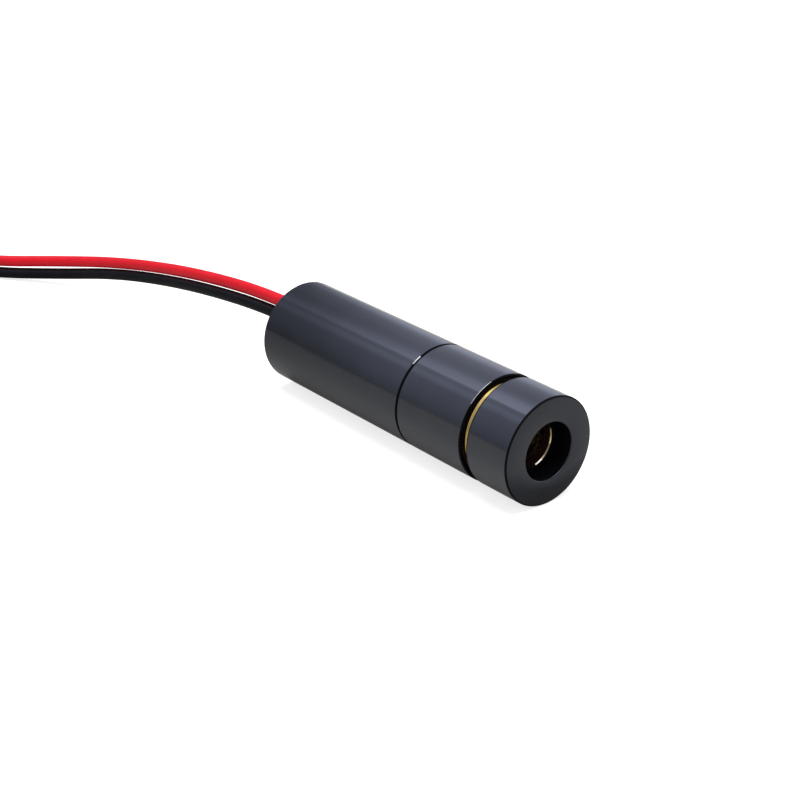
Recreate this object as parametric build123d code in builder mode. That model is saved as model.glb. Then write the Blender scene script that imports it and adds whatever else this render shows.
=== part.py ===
from build123d import *
from math import atan2, cos, degrees, pi, radians, sin, tan
import os

# A round laser diode module with a screw-adjusted focus, lying on its side on z = 0.
# The beam leaves along +X. The origin is on the surface, under the middle of the metal body.
# All lengths are in millimetres.

os.makedirs("parts", exist_ok=True)

# Metal body, from front to rear
outer_diameter = 10.5
cap_length = 5.2
focus_gap = 0.9
barrel_length = 8.9
housing_length = 21.2
housing_wall = 0.7
rim_chamfer = 0.15
edge_break = 0.08

# Clearances shared by pieces that fit in each other
seat_clearance = 0.02
running_clearance = 0.05

# Groove that is left open where the housing meets the barrel's shoulder
seam_width = 0.18
seam_depth = 0.4

# Front barrel
spigot_length = 4.0
thread_wall = 0.7
thread_depth = 6.4
web_thickness = 1.0
web_hole_diameter = 4.4
rear_bore_diameter = 7.4

# Focus cap
aperture_diameter = 5.58
aperture_depth = 2.2
aperture_chamfer = 0.08

# Lens holder, lens and the ring that keeps the lens in
holder_length = 7.0
holder_chamfer = 0.2
lip_thickness = 0.9
lip_bore_diameter = 4.9
pocket_diameter = 6.5
lens_rim_thickness = 1.0
lens_dome_diameter = 4.7
lens_dome_height = 0.75
lens_back_diameter = 4.6
lens_back_height = 0.3
retainer_thickness = 1.2
retainer_bore_diameter = 5.0
retainer_slot_width = 0.8
retainer_slot_depth = 0.5

# Spring that takes up the play of the thread, and its washer
washer_thickness = 0.3
washer_clearance = 0.25
washer_width = 0.9
spring_wire = 0.4
spring_clearance = 0.5
spring_turns = 3.5

# Laser diode in its round metal package
header_diameter = 5.6
header_thickness = 1.2
header_notch_width = 0.4
header_notch_depth = 0.35
can_diameter = 3.55
can_height = 2.35
can_wall = 0.15
can_flange_diameter = 4.2
can_flange_thickness = 0.12
window_opening = 1.5
window_diameter = 2.6
window_thickness = 0.25
pin_diameter = 0.45
pin_circle_diameter = 2.0
pin_reach_in_can = 0.5
glass_bead_diameter = 1.1
post_width = 1.5
post_depth = 0.8
post_height = 1.3
post_drop = 0.35
submount_length = 0.8
submount_width = 0.7
submount_thickness = 0.2
chip_length = 0.3
chip_width = 0.25
chip_thickness = 0.1
photodiode_size = 0.6
photodiode_thickness = 0.15
ring_thickness = 1.0
ring_bore_diameter = 4.0
ring_slot_width = 0.8
ring_slot_depth = 0.5

# Driver board, which stands on edge in the housing
board_length = 12.8
board_width = 7.6
board_thickness = 1.0
board_gap = 4.5
board_corner_chamfer = 0.5
pin_overlap = 2.2

# Board components: length along the board, width across it, height off its face
transistor_size = (2.9, 1.3, 1.0)
control_ic_size = (2.9, 1.6, 1.1)
lead_width = 0.4
lead_reach = 0.5
lead_thickness = 0.15
resistor_size = (1.6, 0.8, 0.45)
capacitor_size = (1.6, 0.8, 0.8)
filter_size = (3.2, 1.6, 1.6)
package_chamfer = 0.12
chip_edge_chamfer = 0.06
component_across_share = 0.25
package_along_share = 0.39
filter_along_share = 0.7
resistor_along_shares = (0.27, 0.43, 0.59, 0.75)
capacitor_along_shares = (0.27, 0.43)

# Solder at the pins and the wires
solder_length = 1.7
solder_width = 1.15
solder_height = 0.85
solder_film = 0.05
solder_margin = 0.15
solder_fillet = 0.25
core_tip_length = 0.2
case_solder_length = 0.6
case_solder_taper = 15

# Potting in the rear of the housing, which holds the board's tail
potting_grip = 0.4
potting_recess = 0.6

# Leads: diameter, stripped core, height of each above the module's axis
wire_diameter = 1.3
core_diameter = 0.5
core_reach = 2.3
red_wire_rise = 2.8
black_wire_rise = 1.3
insulation_gap = 0.3
bare_end_length = 4.0
coil_turns = 1.6
coil_mean_diameter = 13.0
tail_radius = 4.0
tail_angle = 130
lead_in_length = 4.7
arc_run_share = 0.45

# Places along X that follow from the lengths above
overall_length = cap_length + focus_gap + barrel_length + housing_length
front_x = overall_length / 2
rear_x = -overall_length / 2
cap_rear_x = front_x - cap_length
barrel_front_x = cap_rear_x - focus_gap
seam_x = barrel_front_x - barrel_length
spigot_rear_x = seam_x - spigot_length
web_front_x = barrel_front_x - thread_depth
web_rear_x = web_front_x - web_thickness
holder_front_x = front_x - aperture_depth
holder_rear_x = holder_front_x - holder_length
lens_front_x = holder_front_x - lip_thickness
lens_rear_x = lens_front_x - lens_rim_thickness
retainer_rear_x = lens_rear_x - retainer_thickness
washer_rear_x = holder_rear_x - washer_thickness
header_rear_x = web_rear_x - header_thickness
can_front_x = web_rear_x + can_height
ring_rear_x = header_rear_x - ring_thickness
board_front_x = header_rear_x - board_gap
board_rear_x = board_front_x - board_length
potting_rear_x = rear_x + potting_recess
potting_front_x = board_rear_x + potting_grip
insulation_start_x = board_rear_x - insulation_gap

# Radii and heights that follow
body_radius = outer_diameter / 2
axis_z = body_radius
housing_bore_radius = body_radius - housing_wall
thread_radius = body_radius - thread_wall
thread_bore_radius = thread_radius + running_clearance
washer_outer_radius = thread_radius - washer_clearance
spring_mean_radius = thread_bore_radius - spring_clearance - spring_wire / 2
wire_radius = wire_diameter / 2
wire_y = -(board_thickness + core_diameter) / 2 - solder_film
red_wire_z = axis_z + red_wire_rise
black_wire_z = axis_z + black_wire_rise
black_layer_z = wire_radius
red_layer_z = 3 * wire_radius + seat_clearance

module_axis = Axis((0, 0, axis_z), (1, 0, 0))
# Sketches on this plane hold turned outlines: x along the module, y outwards from its axis
turning_plane = Plane(origin=(0, 0, axis_z), x_dir=(1, 0, 0), z_dir=(0, -1, 0))


def cross_plane(x):
    """Plane across the module at x, with its x axis along +Y and its y axis along +Z."""
    return Plane(origin=(x, 0, axis_z), x_dir=(0, 1, 0), z_dir=(1, 0, 0))


def outer_rims(part, radius):
    """Round edges of a turned part that have this radius, sorted from rear to front."""
    rims = part.edges().filter_by(GeomType.CIRCLE)
    return rims.filter_by(lambda edge: abs(edge.radius - radius) < edge_break / 2).sort_by(Axis.X)


# Rear housing: a plain tube with its rear open
with BuildPart() as rear_housing:
    with BuildSketch(cross_plane(rear_x)):
        Circle(body_radius)
        Circle(housing_bore_radius, mode=Mode.SUBTRACT)
    extrude(amount=housing_length)
    chamfer(outer_rims(rear_housing.part, body_radius)[0], rim_chamfer)
    chamfer(outer_rims(rear_housing.part, body_radius)[-1], edge_break)
    chamfer(outer_rims(rear_housing.part, housing_bore_radius)[0], edge_break)
rear_housing.part.label = "rear_housing"

# Front barrel: threaded bore at the front, web with the diode's seat, spigot at the rear
spigot_radius = housing_bore_radius - seat_clearance
seam_floor_radius = body_radius - seam_depth
header_seat_radius = header_diameter / 2 + seat_clearance
with BuildPart() as front_barrel:
    with BuildSketch(turning_plane):
        with BuildLine():
            Polyline(
                (spigot_rear_x, rear_bore_diameter / 2),
                (spigot_rear_x, spigot_radius),
                (seam_x, spigot_radius),
                (seam_x, seam_floor_radius),
                (seam_x + seam_width, seam_floor_radius),
                (seam_x + seam_width, body_radius),
                (barrel_front_x, body_radius),
                (barrel_front_x, thread_bore_radius),
                (web_front_x, thread_bore_radius),
                (web_front_x, web_hole_diameter / 2),
                (web_rear_x, web_hole_diameter / 2),
                (web_rear_x, header_seat_radius),
                (header_rear_x, header_seat_radius),
                (header_rear_x, rear_bore_diameter / 2),
                close=True,
            )
        make_face()
    revolve(axis=module_axis)
    chamfer(outer_rims(front_barrel.part, body_radius), edge_break)
    chamfer(outer_rims(front_barrel.part, spigot_radius)[0], rim_chamfer)
front_barrel.part.label = "front_barrel"

# Focus cap: front wall with the aperture, and a counterbore for the lens holder
with BuildPart() as focus_cap:
    with BuildSketch(turning_plane):
        with BuildLine():
            Polyline(
                (cap_rear_x, thread_radius + seat_clearance),
                (cap_rear_x, body_radius),
                (front_x, body_radius),
                (front_x, aperture_diameter / 2),
                (holder_front_x, aperture_diameter / 2),
                (holder_front_x, thread_radius + seat_clearance),
                close=True,
            )
        make_face()
    revolve(axis=module_axis)
    chamfer(outer_rims(focus_cap.part, body_radius)[0], edge_break)
    chamfer(outer_rims(focus_cap.part, body_radius)[-1], rim_chamfer)
    chamfer(outer_rims(focus_cap.part, aperture_diameter / 2)[-1], aperture_chamfer)
focus_cap.part.label = "focus_cap"

# Lens holder: threaded brass tube with a lip at the front that the lens bears on
with BuildPart() as lens_holder:
    with BuildSketch(turning_plane):
        with BuildLine():
            Polyline(
                (holder_rear_x, pocket_diameter / 2),
                (holder_rear_x, thread_radius - holder_chamfer),
                (holder_rear_x + holder_chamfer, thread_radius),
                (holder_front_x, thread_radius),
                (holder_front_x, lip_bore_diameter / 2),
                (lens_front_x, lip_bore_diameter / 2),
                (lens_front_x, pocket_diameter / 2),
                close=True,
            )
        make_face()
    revolve(axis=module_axis)
lens_holder.part.label = "lens_holder"

# Collimating lens: a flat rim with a high dome in front and a low one behind
lens_radius = pocket_diameter / 2 - seat_clearance
with BuildPart() as collimating_lens:
    with BuildSketch(turning_plane):
        with BuildLine():
            back = (lens_rear_x - lens_back_height, 0)
            apex = (lens_front_x + lens_dome_height, 0)
            TangentArc(back, (lens_rear_x, lens_back_diameter / 2), tangent=(0, 1))
            Polyline(
                (lens_rear_x, lens_back_diameter / 2),
                (lens_rear_x, lens_radius),
                (lens_front_x, lens_radius),
                (lens_front_x, lens_dome_diameter / 2),
            )
            TangentArc(apex, (lens_front_x, lens_dome_diameter / 2), tangent=(0, 1))
            Line(apex, back)
        make_face()
    revolve(axis=module_axis)
collimating_lens.part.label = "collimating_lens"


def slotted_ring(name, rear, thickness, radius, bore_radius, slot_width, slot_depth):
    """Locking ring with a driver slot across its rear face."""
    with BuildPart() as ring:
        with BuildSketch(cross_plane(rear)):
            Circle(radius)
            Circle(bore_radius, mode=Mode.SUBTRACT)
        extrude(amount=thickness)
        with BuildSketch(cross_plane(rear)):
            Rectangle(2 * body_radius, slot_width)
        extrude(amount=slot_depth, mode=Mode.SUBTRACT)
    ring.part.label = name
    return ring


lens_retainer = slotted_ring(
    "lens_retainer", retainer_rear_x, retainer_thickness, lens_radius,
    retainer_bore_diameter / 2, retainer_slot_width, retainer_slot_depth)
diode_retaining_ring = slotted_ring(
    "diode_retaining_ring", ring_rear_x, ring_thickness, rear_bore_diameter / 2 - seat_clearance,
    ring_bore_diameter / 2, ring_slot_width, ring_slot_depth)

# Washer and spring between the barrel's web and the lens holder
with BuildPart() as thrust_washer:
    with BuildSketch(cross_plane(washer_rear_x)):
        Circle(washer_outer_radius)
        Circle(washer_outer_radius - washer_width, mode=Mode.SUBTRACT)
    extrude(amount=washer_thickness)
thrust_washer.part.label = "thrust_washer"

spring_rise = washer_rear_x - web_front_x - spring_wire
with BuildPart() as focus_spring:
    with BuildLine():
        coil = Helix(
            pitch=spring_rise / spring_turns,
            height=spring_rise,
            radius=spring_mean_radius,
            center=(web_front_x + spring_wire / 2, 0, axis_z),
            direction=(1, 0, 0),
        )
    with BuildSketch(Plane(origin=coil @ 0, z_dir=coil % 0)):
        Circle(spring_wire / 2)
    sweep()
focus_spring.part.label = "focus_spring"

# Diode header: notched disc with the heat-sink post and two glass-sealed holes
pin_radius = pin_circle_diameter / 2
with BuildPart() as diode_header:
    with BuildSketch(cross_plane(header_rear_x)):
        Circle(header_diameter / 2)
        with Locations((-header_diameter / 2, 0), (header_diameter / 2, 0)):
            Rectangle(2 * header_notch_depth, header_notch_width, mode=Mode.SUBTRACT)
        with Locations((-pin_radius, 0), (pin_radius, 0)):
            Circle(glass_bead_diameter / 2, mode=Mode.SUBTRACT)
    extrude(amount=header_thickness)
    with BuildSketch(cross_plane(web_rear_x)):
        with Locations((0, -post_drop - post_depth / 2)):
            Rectangle(post_width, post_depth)
        Circle(can_diameter / 2 - can_wall - seat_clearance, mode=Mode.INTERSECT)
        with Locations((-pin_radius, 0), (pin_radius, 0)):
            Circle(glass_bead_diameter / 2, mode=Mode.SUBTRACT)
    extrude(amount=post_height)
diode_header.part.label = "diode_header"

# Diode can: thin cup with a window opening and a weld flange
with BuildPart() as diode_can:
    with BuildSketch(turning_plane):
        with BuildLine():
            Polyline(
                (web_rear_x, can_diameter / 2 - can_wall),
                (web_rear_x, can_flange_diameter / 2),
                (web_rear_x + can_flange_thickness, can_flange_diameter / 2),
                (web_rear_x + can_flange_thickness, can_diameter / 2),
                (can_front_x, can_diameter / 2),
                (can_front_x, window_opening / 2),
                (can_front_x - can_wall, window_opening / 2),
                (can_front_x - can_wall, can_diameter / 2 - can_wall),
                close=True,
            )
        make_face()
    revolve(axis=module_axis)
    fillet(outer_rims(diode_can.part, can_diameter / 2)[-1], can_wall / 2)
diode_can.part.label = "diode_can"

with BuildPart() as diode_window:
    with BuildSketch(cross_plane(can_front_x - can_wall - window_thickness)):
        Circle(window_diameter / 2)
    extrude(amount=window_thickness)
diode_window.part.label = "diode_window"

# Pins: two go through the header beside the board, the case pin ends at the board's edge
with BuildPart() as diode_pins:
    with BuildSketch(cross_plane(board_front_x - pin_overlap)):
        with Locations((-pin_radius, 0), (pin_radius, 0)):
            Circle(pin_diameter / 2)
    extrude(amount=web_rear_x + pin_reach_in_can - board_front_x + pin_overlap)
    with BuildSketch(cross_plane(board_front_x)):
        with Locations((0, -pin_radius)):
            Circle(pin_diameter / 2)
    extrude(amount=header_rear_x - board_front_x)
diode_pins.part.label = "diode_pins"

with BuildPart() as diode_glass_seals:
    with BuildSketch(cross_plane(header_rear_x)):
        with Locations((-pin_radius, 0), (pin_radius, 0)):
            Circle(glass_bead_diameter / 2)
            Circle(pin_diameter / 2, mode=Mode.SUBTRACT)
    extrude(amount=header_thickness)
diode_glass_seals.part.label = "diode_glass_seals"

# Submount and chip on the post, with the chip's front edge at the submount's
submount_front_x = web_rear_x + post_height
with BuildPart() as laser_submount:
    with BuildSketch(cross_plane(submount_front_x)):
        with Locations((0, submount_thickness / 2 - post_drop)):
            Rectangle(submount_width, submount_thickness)
    extrude(amount=-submount_length)
laser_submount.part.label = "laser_submount"

with BuildPart() as laser_chip:
    with BuildSketch(cross_plane(submount_front_x)):
        with Locations((0, submount_thickness + chip_thickness / 2 - post_drop)):
            Rectangle(chip_width, chip_thickness)
    extrude(amount=-chip_length)
laser_chip.part.label = "laser_chip"

with BuildPart() as monitor_photodiode:
    with BuildSketch(cross_plane(web_rear_x)):
        with Locations((0, photodiode_size)):
            Rectangle(photodiode_size, photodiode_size)
    extrude(amount=photodiode_thickness)
monitor_photodiode.part.label = "monitor_photodiode"

# Driver board
board_plane = Plane(origin=(board_front_x, board_thickness / 2, axis_z), x_dir=(-1, 0, 0), z_dir=(0, 1, 0))
board_back_plane = board_plane.offset(-board_thickness)
with BuildPart() as driver_board:
    with BuildSketch(board_plane):
        with Locations((board_length / 2, 0)):
            Rectangle(board_length, board_width)
    extrude(amount=-board_thickness)
    chamfer(driver_board.edges().filter_by(Axis.Y), board_corner_chamfer)
driver_board.part.label = "driver_board"


def board_component(name, size, edge_chamfer, places, face, upper_leads=(), lower_leads=()):
    """Blocks at (along, across) places on the board's front (1) or rear (-1) face.

    Leads are flat tabs that reach out under the block's two long edges.
    """
    length, width, height = size
    plane = board_plane if face > 0 else board_back_plane
    pitch = (length - lead_width) / 2 - lead_thickness
    lead_across = (width + lead_reach) / 2
    with BuildPart() as component:
        with BuildSketch(plane):
            with Locations(*places):
                Rectangle(length, width)
        extrude(amount=face * height)
        tops = component.faces().filter_by(Axis.Y).group_by(Axis.Y)[-1 if face > 0 else 0]
        chamfer(tops.edges(), edge_chamfer)
        if upper_leads or lower_leads:
            along, across = places[0]
            spots = [(along + step * pitch, across + lead_across) for step in upper_leads]
            spots += [(along + step * pitch, across - lead_across) for step in lower_leads]
            with BuildSketch(plane):
                with Locations(*spots):
                    Rectangle(lead_width, lead_reach)
            extrude(amount=face * lead_thickness)
    component.part.label = name
    return component


def board_places(along_shares, across_share):
    """Places on the board as shares of its length from the front and its width from the middle."""
    return [(share * board_length, across_share * board_width) for share in along_shares]


drive_transistor = board_component(
    "drive_transistor", transistor_size, package_chamfer,
    board_places([package_along_share], component_across_share), 1, (0,), (-1, 1))
control_ic = board_component(
    "control_ic", control_ic_size, package_chamfer,
    board_places([package_along_share], -component_across_share), 1, (-1, 0, 1), (-1, 0, 1))
chip_resistors = board_component(
    "chip_resistors", resistor_size, chip_edge_chamfer,
    board_places(resistor_along_shares, -component_across_share), -1)
chip_capacitors = board_component(
    "chip_capacitors", capacitor_size, chip_edge_chamfer,
    board_places(capacitor_along_shares, component_across_share), -1)
filter_capacitor = board_component(
    "filter_capacitor", filter_size, package_chamfer, board_places([filter_along_share], 0), 1)


def wire_core(name, height):
    """Stripped end of a lead, lying on the board's rear face."""
    with BuildPart() as core:
        with BuildSketch(Plane(origin=(insulation_start_x, wire_y, height), z_dir=(1, 0, 0))):
            Circle(core_diameter / 2)
        extrude(amount=insulation_gap + core_reach)
    core.part.label = name
    return core


red_wire_core = wire_core("red_wire_core", red_wire_z)
black_wire_core = wire_core("black_wire_core", black_wire_z)

# Solder: one rounded mound over each joint, with what it holds taken out of it
pin_solder_x = board_front_x - pin_overlap - solder_margin + solder_length / 2
wire_solder_x = board_rear_x + core_reach - core_tip_length - solder_length / 2
mound_half = (board_thickness + solder_height) / 2
with BuildPart() as solder_joints:
    with Locations(
        (pin_solder_x, mound_half, axis_z),
        (pin_solder_x, -mound_half, axis_z),
        (wire_solder_x, -mound_half, red_wire_z),
        (wire_solder_x, -mound_half, black_wire_z),
    ):
        Box(solder_length, solder_height, solder_width)
    fillet(solder_joints.edges().filter_by(Axis.Y), solder_fillet)
    with BuildSketch(cross_plane(board_front_x)):
        with Locations((0, -pin_radius)):
            Circle(board_thickness / 2)
    extrude(amount=case_solder_length, taper=case_solder_taper)
    add(diode_pins.part, mode=Mode.SUBTRACT)
    add(red_wire_core.part, mode=Mode.SUBTRACT)
    add(black_wire_core.part, mode=Mode.SUBTRACT)
solder_joints.part.label = "solder_joints"


# Leads: each route is a list of corners, out of the potting and down to the surface.
# Both end in the same straight run, which leads into the coils at last_end.
last_corner = (-71.5, -14.3)
last_end = (-76.16, -16.82)
red_route = [
    (insulation_start_x, wire_y, red_wire_z),
    (-22.5, -0.9, 7.96),
    (-31.5, -1.2, 7.24),
    (-41.5, -1.6, 5.9),
    (-51.0, -3.1, 4.29),
    (-59.0, -6.14, 3.02),
    (-66.0, -10.66, red_layer_z),
    (*last_corner, red_layer_z),
    (*last_end, red_layer_z),
]
black_route = [
    (insulation_start_x, wire_y, black_wire_z),
    (-22.5, -1.3, 6.62),
    (-31.5, -1.7, 5.7),
    (-41.5, -1.9, 4.5),
    (-51.0, -3.4, 2.91),
    (-59.0, -6.44, 1.26),
    (-66.0, -11.5, black_layer_z),
    (*last_corner, black_layer_z),
    (*last_end, black_layer_z),
]


def corner_radii(route):
    """Radius of the arc at each inner corner, as large as its two runs allow."""
    radii = []
    for before, corner, after in zip(route, route[1:], route[2:]):
        incoming = Vector(*corner) - Vector(*before)
        outgoing = Vector(*after) - Vector(*corner)
        half_turn = radians(incoming.get_angle(outgoing)) / 2
        shorter = min(incoming.length, outgoing.length)
        radii.append(arc_run_share * shorter / tan(half_turn))
    return radii


def lead_tube(name, route):
    """Tube of a lead's diameter along straight runs joined by tangent arcs."""
    radii = corner_radii(route)
    with BuildPart() as tube:
        with BuildLine():
            path = FilletPolyline(*route, radius=radii)
        with BuildSketch(Plane(origin=path @ 0, z_dir=path % 0)):
            Circle(wire_radius)
        sweep(transition=Transition.RIGHT)
    tube.part.label = name
    expected = pi * wire_radius**2 * path.length
    print(name, "length", round(path.length, 1), "radii", [round(radius, 1) for radius in radii],
          "volume over section times length", round(tube.part.volume / expected, 4))
    return tube


red_wire = lead_tube("red_wire", red_route)
black_wire = lead_tube("black_wire", black_route)

# Potting: fills the rear of the housing round the board's tail and the leads
with BuildPart() as rear_potting:
    with BuildSketch(cross_plane(potting_rear_x)):
        Circle(housing_bore_radius - seat_clearance)
    extrude(amount=potting_front_x - potting_rear_x)
    for held in (driver_board, red_wire_core, black_wire_core, red_wire, black_wire):
        add(held.part, mode=Mode.SUBTRACT)
rear_potting.part.label = "rear_potting"

# Coils: the rest of each lead lies in flat turns, the red coil on the black one. A coil's
# solid is the ring that its turns fill, with the run that leads in and the tail inside it.
heading = atan2(last_end[1] - last_corner[1], last_end[0] - last_corner[0])
coil_half_width = coil_turns * wire_diameter / 2
coil_outer_radius = coil_mean_diameter / 2 + coil_half_width
coil_inner_radius = coil_mean_diameter / 2 - coil_half_width
entry_x = last_end[0] + lead_in_length * cos(heading)
entry_y = last_end[1] + lead_in_length * sin(heading)
coil_x = entry_x + coil_outer_radius * sin(heading)
coil_y = entry_y - coil_outer_radius * cos(heading)

# The turns run clockwise, seen from above, to where the tail leaves the inner one
tail_start_angle = degrees(heading) + 90 - 360 * coil_turns
tail_offset = coil_inner_radius - tail_radius
tail_x = coil_x + tail_offset * cos(radians(tail_start_angle))
tail_y = coil_y + tail_offset * sin(radians(tail_start_angle))


def lead_coil(name, height):
    """Flat ring round a lead's turns, with its lead-in run and its curved tail."""
    with BuildPart() as ring:
        with BuildSketch(Plane.XY.offset(height - wire_radius)):
            with Locations((coil_x, coil_y)):
                Circle(coil_outer_radius + wire_radius)
                Circle(coil_inner_radius - wire_radius, mode=Mode.SUBTRACT)
            with BuildLine():
                Line(last_end, (entry_x, entry_y))
            trace(line_width=wire_diameter)
            with BuildLine():
                CenterArc((tail_x, tail_y), tail_radius, tail_start_angle, -tail_angle)
            trace(line_width=wire_diameter)
        extrude(amount=wire_diameter)
    ring.part.label = name
    return ring


def bare_end(name, height):
    """Stripped and tinned end, straight on from the tail."""
    end_angle = radians(tail_start_angle - tail_angle)
    end_x = tail_x + tail_radius * cos(end_angle)
    end_y = tail_y + tail_radius * sin(end_angle)
    with BuildPart() as end:
        with BuildSketch(Plane(origin=(end_x, end_y, height), z_dir=(sin(end_angle), -cos(end_angle), 0))):
            Circle(core_diameter / 2)
        extrude(amount=bare_end_length)
    end.part.label = name
    return end


red_wire_coil = lead_coil("red_wire_coil", red_layer_z)
black_wire_coil = lead_coil("black_wire_coil", black_layer_z)
red_wire_end = bare_end("red_wire_end", red_layer_z)
black_wire_end = bare_end("black_wire_end", black_layer_z)

turns_length = 2 * pi * coil_turns * coil_mean_diameter / 2
unseen_length = lead_in_length + turns_length + tail_radius * radians(tail_angle) + bare_end_length
print("coil centre", round(coil_x, 3), round(coil_y, 3), "coil and ends", round(unseen_length, 1))

pieces = [
    rear_housing, front_barrel, focus_cap, lens_holder, collimating_lens, lens_retainer,
    thrust_washer, focus_spring, diode_retaining_ring, diode_header, diode_can, diode_window,
    diode_pins, diode_glass_seals, laser_submount, laser_chip, monitor_photodiode, driver_board,
    drive_transistor, control_ic, chip_resistors, chip_capacitors, filter_capacitor,
    solder_joints, rear_potting, red_wire_core, black_wire_core, red_wire, black_wire,
    red_wire_coil, black_wire_coil, red_wire_end, black_wire_end,
]
for piece in pieces:
    export_step(piece.part, f"parts/{piece.part.label}.step")
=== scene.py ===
from math import atan2, ceil, cos, degrees, exp, pi, radians, sin, sqrt

import bpy
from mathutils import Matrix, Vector


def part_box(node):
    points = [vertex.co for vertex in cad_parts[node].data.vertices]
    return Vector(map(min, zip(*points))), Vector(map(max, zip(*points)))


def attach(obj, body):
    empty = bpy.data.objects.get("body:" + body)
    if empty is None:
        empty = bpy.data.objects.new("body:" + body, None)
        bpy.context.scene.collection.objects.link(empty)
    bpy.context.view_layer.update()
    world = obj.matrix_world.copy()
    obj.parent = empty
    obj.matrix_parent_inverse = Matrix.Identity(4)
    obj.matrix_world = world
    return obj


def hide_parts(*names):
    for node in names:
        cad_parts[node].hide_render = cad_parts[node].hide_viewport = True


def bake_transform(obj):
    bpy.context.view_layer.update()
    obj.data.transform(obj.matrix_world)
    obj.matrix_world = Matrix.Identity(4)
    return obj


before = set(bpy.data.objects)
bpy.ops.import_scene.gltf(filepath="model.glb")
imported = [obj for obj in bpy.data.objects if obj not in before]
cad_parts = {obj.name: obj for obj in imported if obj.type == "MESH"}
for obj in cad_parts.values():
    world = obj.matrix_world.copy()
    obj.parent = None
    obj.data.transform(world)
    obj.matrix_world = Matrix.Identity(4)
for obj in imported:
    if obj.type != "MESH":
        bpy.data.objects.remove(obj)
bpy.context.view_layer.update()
print("loaded the packed model")

mm = 0.001
housingLow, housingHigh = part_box("rear_housing")
barrelLow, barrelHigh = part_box("front_barrel")
capLow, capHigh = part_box("focus_cap")
holderLow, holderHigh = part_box("lens_holder")
lensLow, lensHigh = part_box("collimating_lens")
pottingLow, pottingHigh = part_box("rear_potting")
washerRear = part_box("thrust_washer")[0].x
bodyRadius = (capHigh.z - capLow.z) / 2
axisZ = (capHigh.z + capLow.z) / 2  # height of the beam above the floor
holderRadius = (holderHigh.z - holderLow.z) / 2
threadDepth = 6.4 * mm  # of the barrel's bore, from its front edge to the web
webFront = barrelHigh.x - threadDepth
mergeDistance = 0.0005 * mm

camera = {
    "location": (0.108989, -0.091973, 0.070457),
    "turn": (radians(64.939), radians(0.032), radians(50.485)),
    "lens": 73.52,
    "sensor": 36,
    "nearest": 0.005,
    "farthest": 20,
}

lamps = {
    "overheadLamp": {"location": (0.0, 0.02, 0.45), "size": (0.4, 0.4), "power": 2.4},
    "sideLamp": {"location": (0.35, -0.25, 0.25), "size": (0.25, 0.25), "power": 0.35},
}

leads = {
    "diameter": 1.3 * mm,
    "length": 146 * mm,
    "exitX": -17.5 * mm,
    "exitY": -0.82 * mm,
    "redZ": 8.02 * mm,
    "blackZ": 6.58 * mm,
    "blackLayer": 0.65 * mm,
    "redLayer": 1.97 * mm,
    "pointsPerTurn": 16,
    "turns": 1.6,
    "outerRadius": 7.54 * mm,
    "innerRadius": 5.46 * mm,
    "centre": (-83.881 * mm, -12.423 * mm),
    "startAngle": radians(298.403),
    "tailRadius": 4.0 * mm,
    "tailAngle": radians(130),
    "tailPoints": 6,
    "roundness": 7,  # steps in a quarter of the section
    "smoothness": 10,  # steps from one point to the next
}

# The routes of the solids in millimetres, from inside the resin to the coils, nudged to the photograph
redRoute = [
    (-14.2, -0.8, 8.05),
    (-22.5, -0.9, 7.96),
    (-31.5, -1.2, 7.17),
    (-41.5, -1.6, 5.7),
    (-51.0, -3.15, 4.12),
    (-59.0, -6.4, 2.76),
    (-66.0, -11.6, 1.97),
    (-71.5, -14.3, 1.97),
    (-76.16, -16.82, 1.97),
]
blackRoute = [
    (-14.2, -0.8, 6.55),
    (-22.5, -1.3, 6.62),
    (-31.5, -1.7, 5.88),
    (-41.5, -1.9, 4.36),
    (-51.0, -3.4, 2.8),
    (-59.0, -6.5, 1.17),
    (-66.0, -12.1, 0.65),
    (-71.5, -14.3, 0.65),
    (-76.16, -16.82, 0.65),
]


# Small tools that every piece uses

def deselectAll():
    if bpy.context.object and bpy.context.object.mode == "EDIT":
        bpy.ops.object.mode_set(mode="OBJECT")
    bpy.ops.object.select_all(action="DESELECT")


def activate(piece):
    deselectAll()
    piece.select_set(True)
    bpy.context.view_layer.objects.active = piece


def addObject(name, data):
    piece = bpy.data.objects.new(name, data)
    bpy.context.scene.collection.objects.link(piece)
    return piece


def applyPlace(piece):
    activate(piece)
    bpy.ops.object.transform_apply(location=True, rotation=True, scale=True)


def applyModifiers(piece):
    activate(piece)
    for modifier in list(piece.modifiers):
        bpy.ops.object.modifier_apply(modifier=modifier.name)


def outwardFaces(piece):
    activate(piece)
    bpy.ops.object.mode_set(mode="EDIT")
    bpy.ops.mesh.select_all(action="SELECT")
    bpy.ops.mesh.remove_doubles(threshold=mergeDistance)
    bpy.ops.mesh.normals_make_consistent(inside=False)
    bpy.ops.object.mode_set(mode="OBJECT")


def smoothPiece(piece, angle=35):
    activate(piece)
    bpy.ops.object.shade_smooth_by_angle(angle=radians(angle))


def dress(piece, name, material, slotName, body, *nodes):
    piece.name = name
    piece.data.name = name
    piece.data.materials.clear()
    piece.data.materials.append(material)
    if body:
        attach(piece, body)
    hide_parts(*nodes)


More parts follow.
